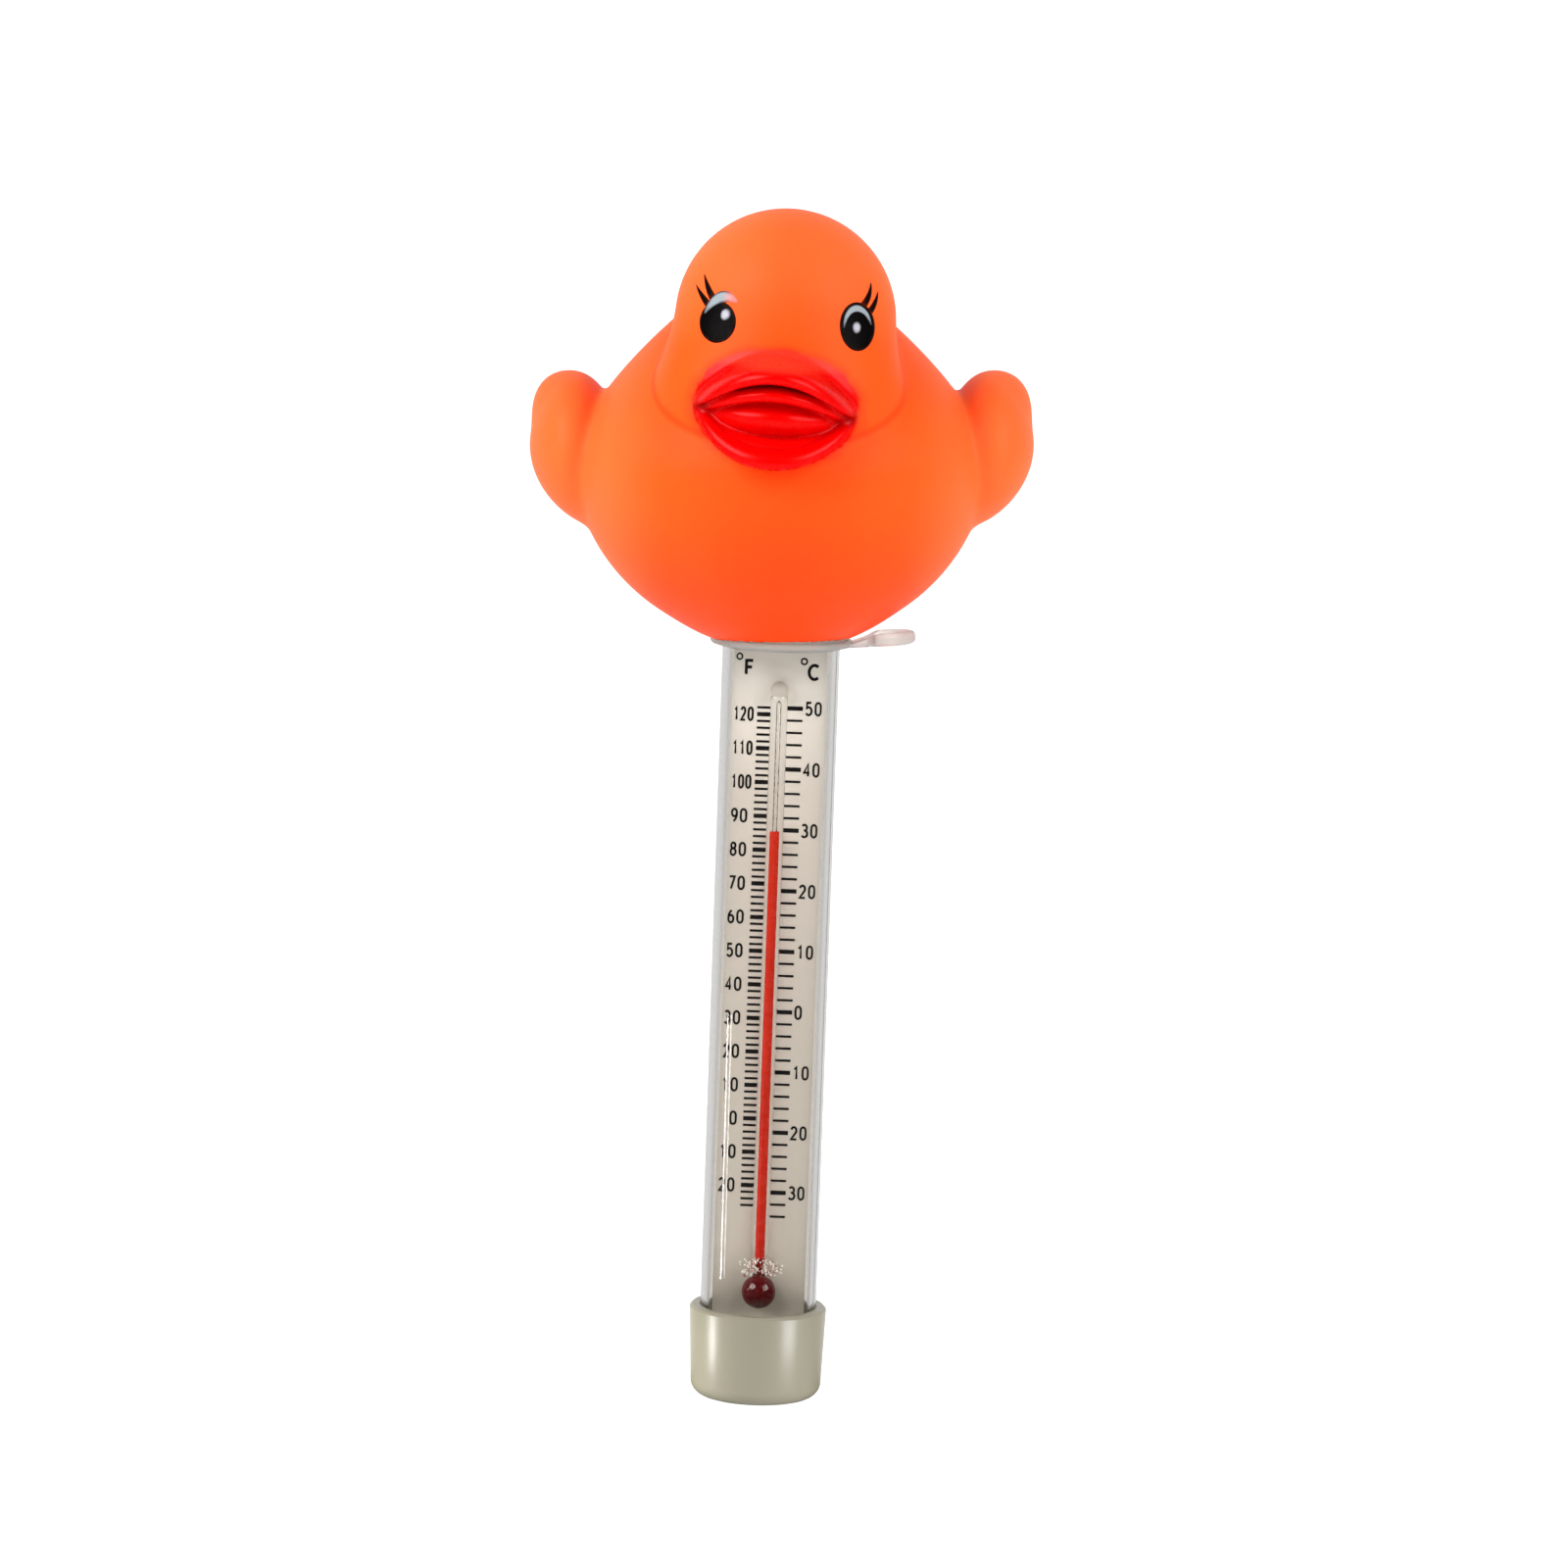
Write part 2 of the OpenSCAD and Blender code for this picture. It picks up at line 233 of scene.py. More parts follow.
def vinyl_material():
    """Soft orange vinyl with the glossy red paint of the bill laid over it. Light and shade are painted into
    its colour: a painted highlight paler on the top of the head and on the sides, painted shade lower on the
    body, down the middle of the front and along the fold of the neck, and on the bill painted shade in the
    creases and a painted highlight along the top of the upper lip.
    """
    s = Shader("duck_vinyl")
    s.set(IOR=1.45, Specular_IOR_Level=0.1, Subsurface_Weight=0.2, Subsurface_Scale=0.002)
    s.set(Subsurface_Radius=(1.0, 0.3, 0.1))
    split = s.node("ShaderNodeSeparateXYZ")
    s.link(s.coords, split.inputs[0])
    # painted highlight: the top of the head is painted paler, standing in for light from above
    pale = s.ramp(split.outputs["Z"], 0.174, 0.193, smooth=False)
    # painted shade: the lower body is painted a deeper orange
    low_shade = s.ramp(split.outputs["Z"], 0.155, 0.126)
    tone = s.ramp(s.noise(38, 2), 0.3, 0.7)
    orange = s.mix(tone, hex_rgb("ff510d"), hex_rgb("ff5713"))
    orange = s.mix(low_shade, orange, hex_rgb("ff4208"))
    orange = s.mix(pale, orange, hex_rgb("ff723a"))
    side = s.node("ShaderNodeMath", operation="ABSOLUTE")
    s.link(split.outputs["X"], side.inputs[0])
    # painted sheen: the sides are painted paler, as if lit from both sides
    orange = s.mix(s.ramp(side.outputs[0], 0.018, 0.03, 0.0, 0.4), orange, hex_rgb("ff7842"))
    # painted shade: the middle of the front, under the bill, is painted deeper
    orange = s.mix(s.ramp(side.outputs[0], 0.0, 0.018, 0.45, 0.0), orange, hex_rgb("ff4208"))
    # painted shade along the fold where the head meets the body
    orange = s.mix(s.ramp(s.attribute("fold"), 0.0, 1.0, 0.0, 0.7), orange, hex_rgb("e23a04"))
    bill = s.attribute("bill")
    ragged = s.add(bill, s.ramp(s.noise(260, 3, 0.7), 0.3, 0.7, -0.25, 0.25))
    paint = s.ramp(ragged, -0.25, 0.35)
    halo = s.ramp(ragged, -1.3, 0.1, 0.0, 0.5)
    crease_shade = s.attribute("crease_shade")
    red = s.mix(s.ramp(s.noise(160, 3), 0.35, 0.65), hex_rgb("e20100"), hex_rgb("d80100"))
    # painted shade in the creases between the lips and in the corners of the mouth
    red = s.mix(s.ramp(crease_shade, 0.1, 1.0, 0.0, 0.7), red, hex_rgb("8c0003"))
    # painted highlight: the top of the upper lip is painted a lighter pinkish red
    red = s.mix(s.ramp(s.attribute("crown"), 0.0, 1.0, 0.0, 0.7), red, hex_rgb("f23a26"))
    base = s.mix(halo, orange, hex_rgb("fa2a10"))
    s.into(s.mix(paint, base, red), "Base Color")
    rough = s.mix(paint, grey(0.5), grey(0.26))
    s.into(s.mix(s.ramp(s.noise(900, 2, 0.6), 0.3, 0.7, 0.0, 0.08), rough, grey(0.55)), "Roughness")
    s.bump(s.noise(420, 2, 0.5), 0.00002)
    return s.material


def paint_material(name, code, edge_code, roughness=0.3, soft=0.35):
    """Gloss paint that fades to another colour at the edge of its coat."""
    s = Shader(name)
    s.set(IOR=1.47, Specular_IOR_Level=0.03)
    core = s.add(s.attribute("core"), s.ramp(s.noise(900, 3, 0.7), 0.3, 0.7, -0.06, 0.06))
    base = s.mix(s.ramp(core, 0.0, soft), hex_rgb(edge_code), hex_rgb(code))
    s.into(s.mix(s.attribute("blush"), base, hex_rgb("f0857c")), "Base Color")
    s.into(s.ramp(s.noise(1300, 2), 0.3, 0.7, roughness * 0.85, roughness * 1.2), "Roughness")
    s.bump(s.noise(1000, 3), 0.00001)
    return s.material


def clear_material(name, tint, ior, roughness=0.0, streaks=0.0, murk=0.0):
    """Clear plastic or glass with faint draw lines and fine dust. Light reaches what is inside."""
    s = Shader(name)
    s.set(IOR=ior, Transmission_Weight=1.0)
    lines = s.ramp(s.noise(1.0, 3, 0.6, (620, 620, 6)), 0.35, 0.7)
    deeper = [c * 0.985 for c in tint] + [1]
    s.into(s.mix(lines, [*tint, 1], deeper), "Base Color")
    s.into(s.ramp(s.noise(700, 4, 0.7), 0.55, 0.8, roughness, roughness + 0.002), "Roughness")
    if streaks:
        s.bump(lines, streaks)
    if murk:
        depth = s.node("ShaderNodeVolumeAbsorption")
        depth.inputs["Density"].default_value = murk
        depth.inputs["Color"].default_value = (0, 0.04, 0.08, 1)
        s.link(depth.outputs[0], s.out.inputs["Volume"])
    s.let_light_in()
    return s.material


def moulded_material(name, low, high, roughness=0.35, grain=500, bump=0.00002, **values):
    """Moulded plastic with soft flow marks and a fine grain."""
    s = Shader(name)
    s.set(IOR=1.47, **values)
    flow = s.ramp(s.noise(1.0, 2, 0.4, (45, 45, 15)), 0.2, 0.8)
    s.into(s.mix(flow, hex_rgb(low), hex_rgb(high)), "Base Color")
    fine = s.noise(grain, 2, 0.5)
    s.into(s.ramp(fine, 0.3, 0.7, roughness * 0.97, roughness * 1.06), "Roughness")
    if bump:
        s.bump(fine, bump)
    return s.material


def card_material():
    """Coated off-white card with a faint tooth. Painted shade darkens it towards its lower end and near the
    bulb, and painted light whitens its top end under the duck.
    """
    s = Shader("scale_card")
    s.set(IOR=1.45, Specular_IOR_Level=0.25)
    split = s.node("ShaderNodeSeparateXYZ")
    s.link(s.coords, split.inputs[0])
    # painted shade: the card is painted darker towards its lower end
    height = s.ramp(split.outputs["Z"], BULB_Z * MM, card_high[2] * MM, smooth=False)
    base = s.mix(height, hex_rgb("bbb4a8"), hex_rgb("e2dacf"))
    # painted shade: the card is painted darker near the bulb
    bulb_shade = s.ramp(split.outputs["Z"], 0.026, 0.016, 0.0, 0.2)
    base = s.mix(bulb_shade, base, hex_rgb("968a77"))
    # painted light: the top end, shaded by the duck, is painted near white
    base = s.mix(s.ramp(split.outputs["Z"], 0.098, 0.122), base, hex_rgb("fffaf0"))
    cloud = s.ramp(s.noise(1.0, 3, 0.5, (160, 160, 60)), 0.3, 0.7, 0.0, 0.3)
    s.into(s.mix(cloud, base, s.mix(0.5, base, hex_rgb("ccc4b9"))), "Base Color")
    s.into(s.ramp(s.noise(1500, 3), 0.3, 0.7, 0.5, 0.7), "Roughness")
    s.bump(s.noise(2200, 3, 0.6), 0.00001)
    return s.material


def ink_material():
    """Screen-printed ink, a little thin in places."""
    s = Shader("scale_ink")
    s.set(IOR=1.45, Specular_IOR_Level=0.3)
    worn = s.ramp(s.noise(1800, 4, 0.7), 0.5, 0.75, 0.0, 0.5)
    s.into(s.mix(worn, hex_rgb("080605"), hex_rgb("1c1815")), "Base Color")
    s.into(s.ramp(s.noise(2500, 2), 0.3, 0.7, 0.4, 0.6), "Roughness")
    return s.material


def spirit_material(name, top, bottom, fleck, z0, z1):
    """Dyed spirit that looks deeper towards its lower end."""
    s = Shader(name)
    s.set(IOR=1.36, Specular_IOR_Level=0.3, Subsurface_Weight=0.1, Subsurface_Scale=0.0005)
    split = s.node("ShaderNodeSeparateXYZ")
    s.link(s.coords, split.inputs[0])
    height = s.ramp(split.outputs["Z"], z0 * MM, z1 * MM, smooth=False)
    mottle = s.ramp(s.noise(1.0, 3, 0.6, (900, 900, 60)), 0.3, 0.7, 0.0, 0.25)
    base = s.mix(height, hex_rgb(bottom), hex_rgb(top))
    s.into(s.mix(mottle, base, hex_rgb(fleck)), "Base Color")
    s.into(s.ramp(s.noise(1100, 2), 0.3, 0.7, 0.2, 0.35), "Roughness")
    return s.material


def steel_material():
    """Plain bearing steel with fine turning marks and a little tarnish."""
    s = Shader("ballast_steel")
    s.set(Metallic=1.0)
    tarnish = s.ramp(s.noise(420, 4, 0.6), 0.35, 0.75)
    s.into(s.mix(tarnish, hex_rgb("c4c6c9"), hex_rgb("8d8680")), "Base Color")
    s.into(s.ramp(s.noise(1600, 3), 0.3, 0.7, 0.18, 0.4), "Roughness")
    s.bump(s.noise(2400, 3), 0.00001)
    return s.material


VINYL = vinyl_material()
EYE_BLACK = paint_material("eye_black", "050303", "2c0f08", 0.4, 0.12)
LASH = paint_material("lash_black", "0a0403", "4a1204", 0.4, 0.45)
EYE_GREY = paint_material("eye_grey", "949da3", "3a3436", 0.3, 0.5)
EYE_WHITE = paint_material("eye_white", "b4b4be", "1c1616", 0.25, 0.7)
INK = ink_material()
CARD = card_material()
GLASS = clear_material("capillary_glass", (0.98, 0.975, 0.965), 1.5)
TUBE = clear_material("clear_tube", (0.93, 0.9, 0.86), 1.49, murk=100)
MILKY = moulded_material(
    "milky_plastic", "e9e7e2", "f6f4ef", 0.5,
    Transmission_Weight=0.8, Subsurface_Weight=0.2, Subsurface_Scale=0.001,
)
CAP = moulded_material("cap_plastic", "7d7965", "837f70", 0.3, 900, 0.0, Specular_IOR_Level=0.5)
HOLDER = moulded_material("holder_plastic", "9b968a", "b0aa9d", 0.5)
RUBBER = moulded_material("seal_rubber", "141414", "202020", 0.6, 900)
WHITE_GLUE = moulded_material(
    "white_glue", "d2cabe", "dcd5ca", 0.5, 900, 0.00001, Specular_IOR_Level=0.2
)
CLEAR_GLUE = clear_material("clear_glue", (0.97, 0.955, 0.93), 1.03, 0.05, 0.00002)
BUBBLE = moulded_material("glue_bubble", "f2ece2", "ffffff", 0.2, 1500)
SPECK = moulded_material("glue_speck", "8a2a22", "c06a5c", 0.35, 1500)
SPIRIT_RED = spirit_material("red_spirit", "cc2814", "b41c0c", "e04028", 20, 94)
BULB_SPIRIT = spirit_material("dark_spirit", "8c0c0c", "4a0408", "700c12", 19, 24)
STEEL = steel_material()

# ---- the duck ---------------------------------------------------------------
# A smooth field whose zero level is the skin, in millimetres, from the collar's
# seat, upright. The head has its own frame, rolled and turned a little.

HEAD_C = np.array((0.7, -11.0, 51.3))
HEAD_R = 17.6
HEAD_ROLL = math.radians(3.2)
HEAD_YAW = math.radians(-2.5)
BILL_ROLL = math.radians(1.5)
BILL_C = np.array((0.0, -20.0, -12.8))
LIP_BACK = -13.0
BODY_C = np.array((-0.2, 2.0, 28.75))
BODY_R = np.array((33.6, 33.0, 30.9))


def ellipsoid(p, c, r):
    r = np.array(r, float)
    q = (p - np.array(c, float)) / r
    k = np.sqrt((q * q).sum(-1))
    q /= r
    g = np.sqrt((q * q).sum(-1))
    return k * (k - 1) / np.maximum(g, 1e-4)


def join(a, b, k):
    """Union with a round joint of width k."""
    h = np.maximum(k - np.abs(a - b), 0) / k
    return np.minimum(a, b) - h * h * k / 4


def carve(a, b, k):
    """Intersection with a round edge of width k."""
    return -join(-a, -b, k)


def head_frame(p):
    turn = Matrix.Rotation(HEAD_YAW, 3, "Z") @ Matrix.Rotation(HEAD_ROLL, 3, "Y")
    return (p - HEAD_C) @ np.array(turn)


def body_field(p):
    q = p - BODY_C
    flat = np.sqrt(q[..., 0] ** 2 + (q[..., 1] * BODY_R[0] / BODY_R[1]) ** 2)
    shoulder = (flat + q[..., 2] - 40.5) / math.sqrt(2)
    keel = ellipsoid(p, (0, 0.5, 11), (20, 20, 13.8))
    return join(carve(ellipsoid(p, BODY_C, BODY_R), shoulder, 9), keel, 2)


def tail_field(p):
    base = ellipsoid(p, (0, 29, 33), (14, 14, 11))
    return join(base, ellipsoid(p, (0, 35.5, 42), (6, 6, 9)), 10)


def wing_field(p):
    q = p.copy()
    q[..., 0] = np.abs(q[..., 0]) + 0.018 * np.maximum(31 - q[..., 2], 0) ** 2
    leaf = ellipsoid(q, (33.6, 6, 29.2), (7.3, 15, 12.5))
    tip = ellipsoid(q, (35.8, 8, 36.4), (4.2, 7, 4.8))
    return join(leaf, tip, 2.5)


def plate(p, centre, half_width, front, rim, thick):
    """A flat lip with a round front, arched by centre: a function of (u, v) that gives its height."""
    u, v, w = p[..., 0], p[..., 1], p[..., 2]
    reach = LIP_BACK - front
    flat = np.sqrt((u / half_width) ** 2 + ((v - LIP_BACK) / reach) ** 2)
    edge = np.maximum((flat - 1) * min(half_width, reach) + rim, 0)
    return np.sqrt(edge ** 2 + ((w - centre(u, v)) * rim / thick) ** 2) - rim


def bill_frame(h):
    """The bill is rolled a little more than the head, about the middle of the mouth."""
    c, s = math.cos(BILL_ROLL), math.sin(BILL_ROLL)
    w = h[..., 2] - BILL_C[2]
    return np.stack((h[..., 0] * c - w * s, h[..., 1], h[..., 0] * s + w * c + BILL_C[2]), -1)


def bill_lips(p):
    """The four lips, from the top down: outer and inner of the upper bill, inner and outer of the lower."""
    def arch(u):
        return (u / 12.8) ** 2

    def bowl(u):
        return np.abs(u / 12.6) ** 2.4

    upper = plate(p, lambda u, v: -7.5 - 8.0 * arch(u) + 0.22 * (v + 28), 13.3, -28.6, 1.3, 1.2)
    palate = plate(p, lambda u, v: -10.4 - 5.0 * arch(u) + 0.1 * (v + 26), 12.2, -26.6, 1.1, 1.05)
    ledge = plate(p, lambda u, v: -18.6 + 2.0 * bowl(u) + 0.3 * (v + 24), 11.4, -24.6, 0.9, 0.75)
    lower = plate(p, lambda u, v: -20.5 + 3.4 * bowl(u) + 0.34 * (v + 25), 13.1, -26.4, 1.5, 1.5)
    return upper, palate, ledge, lower


def tongue_field(p):
    return ellipsoid(p, (0, -14, -14.3), (10.4, 10.5, 4.2))


def bill_field(h):
    p = bill_frame(h)
    upper, palate, ledge, lower = bill_lips(p)
    tongue = tongue_field(p)
    root = ellipsoid(p, (0, -11.5, -12.8), (13.1, 9.5, 9.2))
    lips = join(join(upper, palate, 1.2), join(ledge, lower, 0.4), 0.8)
    return join(join(lips, tongue, 0.9), root, 2.0)


def bill_paint(h):
    """Signed distance, roughly, to the oval that the bill's paint covers on the face: positive inside."""
    p = bill_frame(h)
    oval = np.sqrt((p[..., 0] / 13.2) ** 2 + ((p[..., 2] - BILL_C[2]) / 9.2) ** 2)
    return np.where(p[..., 1] < LIP_BACK + 2, (1 - oval) * 9.2, -9.0)


def bill_hollows(h):
    """Mask for painted shade: 1 in the creases between the lips and in the corners of the mouth, 0 elsewhere.
    """
    p = bill_frame(h)
    upper, palate, ledge, lower = bill_lips(p)
    tongue = tongue_field(p)

    def groove(*sheets):
        return np.clip(1 - np.sort(np.stack(sheets), axis=0)[1] / 1.5, 0, 1)

    across = np.clip((np.abs(p[..., 0]) - 8.5) / 3, 0, 1)
    corner = across * np.clip(1 - np.abs(p[..., 2] + 13.6) / 2.2, 0, 1)
    return np.clip(groove(upper, palate) * 0.12 + groove(ledge, lower, tongue) * 0.6 + corner, 0, 1)


def head_field(h):
    ball = ellipsoid(h, (0, 0, 0), (HEAD_R, HEAD_R, HEAD_R))
    cheeks = ellipsoid(h, (-0.2, -3.4, -11.5), (19.8, 17.2, 15.5))
    return join(ball, cheeks, 4)


def duck_field(p):
    """The duck's skin, with the hole in the belly that the collar's stub goes into."""
    h = head_frame(p)
    torso = join(join(body_field(p), tail_field(p), 8), wing_field(p), 1.6)
    hole = np.maximum(np.hypot(p[..., 0], p[..., 1]) - BELLY_HOLE_R, p[..., 2] - 9)
    return np.maximum(join(torso, join(head_field(h), bill_field(h), 1.0), 1.2), -hole)


def gradient(field, p, step=0.02):
    g = np.empty_like(p)
    for axis in range(3):
        d = np.zeros(3)
        d[axis] = step
        g[..., axis] = (field(p + d) - field(p - d)) / (2 * step)
    return g


def settle(field, p, rounds=4):
    """Moves points onto the field's zero level."""
    for _ in range(rounds):
        g = gradient(field, p)
        p = p - np.clip(field(p), -0.6, 0.6)[..., None] * g / np.maximum((g * g).sum(-1), 0.05)[..., None]
    return p


def graded(stops):
    """Grid lines along one axis: stops are (from, to, spacing)."""
    lines = [np.arange(a, b - 1e-9, (b - a) / round((b - a) / s)) for a, b, s in stops]
    return np.concatenate(lines + [[stops[-1][1]]])


def surface_net(field, xs, ys, zs):
    """Quads around the zero level of a field on a grid, one point in each cell that it crosses."""
    grid = np.stack(np.meshgrid(xs, ys, zs, indexing="ij"), -1)
    value = np.concatenate([field(slab) for slab in np.array_split(grid, 24)])
    inside = value < 0
    cells = np.zeros([n - 1 for n in inside.shape], np.int8)
    corners = [(i, j, k) for i in (0, 1) for j in (0, 1) for k in (0, 1)]
    shape = cells.shape
    for i, j, k in corners:
        cells += inside[i:i + shape[0], j:j + shape[1], k:k + shape[2]]
    crossed = (cells > 0) & (cells < 8)
    index = -np.ones(shape, int)
    index[crossed] = np.arange(crossed.sum())
    at = np.argwhere(crossed)
    total, weight = np.zeros((len(at), 3)), np.zeros(len(at))
    for axis in range(3):
        for corner in corners:
            if corner[axis]:
                continue
            a = at + corner
            b = a.copy()
            b[:, axis] += 1
            va, vb = value[tuple(a.T)], value[tuple(b.T)]
            cut = (va < 0) != (vb < 0)
            t = np.where(cut, va / np.where(cut, va - vb, 1), 0)[:, None]
            point = grid[tuple(a.T)] * (1 - t) + grid[tuple(b.T)] * t
            total += np.where(cut[:, None], point, 0)
            weight += cut
    verts = total / weight[:, None]
    faces = []
    for axis in range(3):
        b, c = (axis + 1) % 3, (axis + 2) % 3
        low = np.moveaxis(inside, axis, 0)[:-1]
        high = np.moveaxis(inside, axis, 0)[1:]
        edges = np.argwhere(np.moveaxis(low != high, 0, axis))
        edges = edges[(edges[:, b] > 0) & (edges[:, c] > 0)]
        keep = np.ones(len(edges), bool)
        for d in (b, c):
            keep &= edges[:, d] < shape[d]
        edges = edges[keep]
        step_b, step_c = np.eye(3, dtype=int)[b], np.eye(3, dtype=int)[c]
        ring = [edges - step_b - step_c, edges - step_c, edges, edges - step_b]
        quads = np.stack([index[tuple(r.T)] for r in ring], -1)
        outward = inside[tuple(edges.T)]
        quads[~outward] = quads[~outward][:, ::-1]
        faces.append(quads)
    return verts, np.concatenate(faces)


def to_row(p):
    """From the duck's frame to the row's, in millimetres."""
    return p @ np.array(Matrix.Rotation(DUCK_LEAN, 3, "Y")).T + (0, 0, SEAT_Z + DUCK_LIFT)


def add_attribute(obj, name, values):
    layer = obj.data.attributes.new(name, "FLOAT", "POINT")
    layer.data.foreach_set("value", np.asarray(values, np.float32))


def make_duck():
    fine, coarse = ((0.33, 0.75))
    xs = graded([(-44, -15, coarse), (-15, 15, fine), (15, 44, coarse)])
    ys = graded([(-42, -22, fine), (-22, 46, coarse)])
    zs = graded([(-4, 27, coarse), (27, 47, fine), (47, 72, coarse)])
    verts, faces = surface_net(duck_field, xs, ys, zs)
    verts = settle(duck_field, verts)
    h = head_frame(verts)
    skin = np.minimum(head_field(h), body_field(verts))
    duck = mesh_object("duck_skin", to_row(verts), faces, VINYL)
    out = np.where(h[..., 1] < LIP_BACK, np.minimum(skin - 0.5, 0.3 - bill_field(h)), -9.0)
    add_attribute(duck, "bill", np.maximum(bill_paint(h), out))
    # fold: mask for painted shade where the head meets the body
    add_attribute(duck, "fold", np.clip(1 - np.abs(head_field(h) - body_field(verts)) / 0.9, 0, 1))
    # mask for the painted highlight along the top of the upper lip
    add_attribute(duck, "crown", np.clip((bill_frame(h)[..., 2] + 7.2) / 1.5, 0, 1))
    # mask for painted shade in the bill's creases
    add_attribute(duck, "crease_shade", bill_hollows(h) * (skin > 0.3))
    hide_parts("duck_shell")
    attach(duck, BODY)


# ---- painted eyes and lashes -------------------------------------------------
# Each coat of paint is a thin closed sheet that follows the skin. Its outline is
# drawn in the head's frame, looking back along Y, as (across, up).


def on_face(across, up):
    """Skin points of the head and their normals, in the head's frame, found from the front."""
    p = np.stack((across, np.full_like(across, -40.0), up), -1)
    for _ in range(60):
        p[..., 1] += np.maximum(head_field(p), 0.0) * 0.8
    n = gradient(head_field, p)
    return p, n / np.linalg.norm(n, axis=-1, keepdims=True)


def from_head(h):
    turn = Matrix.Rotation(HEAD_YAW, 3, "Z") @ Matrix.Rotation(HEAD_ROLL, 3, "Y")
    return to_row(h @ np.array(turn).T + HEAD_C)


def coat(name, across, up, thick, material, slot_name, fade=None):
    """A coat of paint over a grid of points, proud of the skin by thick in its middle."""
    p, n = on_face(across, up)
    rows, cols = across.shape
    i, j = np.meshgrid(np.linspace(-1, 1, rows), np.linspace(-1, 1, cols), indexing="ij")
    edge = np.sqrt(i * i + j * j - i * i * j * j)
    height = thick * (1 - edge ** 6) + 0.02
    front, back = from_head(p + n * height[..., None]), from_head(p - n * 0.1)
    verts = np.concatenate([front.reshape(-1, 3), back.reshape(-1, 3)])
    index = np.arange(rows * cols).reshape(rows, cols)
    quads = np.stack([index[:-1, :-1], index[1:, :-1], index[1:, 1:], index[:-1, 1:]], -1).reshape(-1, 4)
    rim = np.concatenate([index[:-1, 0], index[-1, :-1], index[:0:-1, -1], index[0, :0:-1]])
    after = np.roll(rim, -1)
    walls = np.stack([rim, rim + rows * cols, after + rows * cols, after], -1)
    piece = mesh_object(name, verts, np.concatenate([quads, quads[:, ::-1] + rows * cols, walls]), material)
    add_attribute(piece, "core", np.tile((1 - edge if fade is None else fade).ravel(), 2))
    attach(piece, BODY)
    return piece


def oval(centre, half_width, half_height, lean, n=25):
    """A grid of points that fills an oval, leaning clockwise by lean degrees."""
    a, b = np.meshgrid(np.linspace(-1, 1, n), np.linspace(-1, 1, n), indexing="ij")
    x = a * np.sqrt(1 - b * b / 2) * half_width
    y = b * np.sqrt(1 - a * a / 2) * half_height
    c, s = math.cos(math.radians(lean)), math.sin(math.radians(lean))
    return centre[0] + x * c + y * s, centre[1] - x * s + y * c


def crescent(centre, half_width, half_height, lean, a0, a1, thick, n=41, m=9):
    """A grid between two arcs of an oval that meet at their ends, from angle a0 to a1."""
    t = np.linspace(0, 1, n)
    angle = np.radians(a0 + (a1 - a0) * t)
    width = thick * np.sin(np.pi * np.clip(t, 0.02, 0.98)) ** 0.5
    ratio = half_width / half_height
    c, s = math.cos(math.radians(lean)), math.sin(math.radians(lean))
    grids = []
    for k in np.linspace(0, 1, m):
        r = half_height - width * (1 - k)
        x, y = r * ratio * np.cos(angle), r * np.sin(angle)
        grids.append((centre[0] + x * c + y * s, centre[1] - x * s + y * c))
    return np.array([g[0] for g in grids]).T, np.array([g[1] for g in grids]).T


def lash(points, width, n=25, m=5):
    """A grid along a tapering stroke: points are its root, a middle one and its tip."""
    t = np.linspace(0, 1, n)[:, None]
    a, b, c = (np.array(p) for p in points)
    line = a * (1 - t) ** 2 + 2 * b * t * (1 - t) + c * t ** 2
    along = np.gradient(line, axis=0)
    along /= np.linalg.norm(along, axis=1, keepdims=True)
    side = np.stack((-along[:, 1], along[:, 0]), -1)
    half = width / 2 * (1 - t ** 1.5 * 0.9)
    grid = line[:, None] + side[:, None] * (half[:, None] * np.linspace(1, -1, m)[None, :, None])
    return grid[..., 0], grid[..., 1]


def make_eye(side, black, lid, glint, lashes):
    """One eye: a black oval, a grey lid, a pale glint and two lashes."""
    coat(f"eye_{side}", *oval(*black), 0.1, EYE_BLACK, "eye_black")
    lid_coat = coat(f"eyelid_{side}", *crescent(*lid), 0.15, EYE_GREY, "eye_white")
    coat(f"glint_{side}", *oval(*glint), 0.16, EYE_WHITE, "eye_white")
    for number, (points, width) in enumerate(lashes, 1):
        coat(f"lash_{side}_{number}", *lash(points, width), 0.06, LASH, "eye_black")
    return lid_coat


def make_eyes():
    left_lid = make_eye(
        "left",
        black=((-10.0, -0.1), 2.95, 3.25, 14),
        lid=((-9.45, -0.1), 3.1, 4.95, 8, 178, 50, 2.0),
        glint=((-8.75, 1.15), 0.9, 1.1, 25),
        lashes=[
            (((-11.0, 3.45), (-12.2, 5.2), (-12.75, 7.0)), 1.15),
            (((-11.5, 2.2), (-12.95, 3.6), (-14.0, 5.2)), 1.15),
        ],
    )
    across = np.linspace(1, 0, len(left_lid.data.vertices) // 18)
    add_attribute(left_lid, "blush", np.tile(np.repeat(np.clip((0.4 - across) / 0.4, 0, 0.8), 9), 2))
    make_eye(
        "right",
        black=((11.9, 0.35), 2.65, 3.8, -10),
        lid=((11.9, 0.3), 2.2, 3.5, -10, 190, -14, 1.25),
        glint=((11.75, 0.2), 0.75, 1.1, -8),
        lashes=[
            (((12.5, 3.5), (13.65, 5.0), (13.5, 7.1)), 1.1),
            (((13.4, 2.3), (14.55, 3.8), (14.65, 5.7)), 1.05),
        ],
    )


# ---- the scale's print -------------------------------------------------------
# Strokes of even width on the face of the card. A glyph is drawn in a unit
# square, as lists of points: True marks a stroke that closes on itself.

DIGIT_H = 2.4
STROKE = 0.37
INK_PROUD = 0.03


def bow(cx, cy, rx, ry, a0, a1, n=14):
    angles = np.radians(np.linspace(a0, a1, n))
    return [(cx + rx * math.cos(a), cy + ry * math.sin(a)) for a in angles]


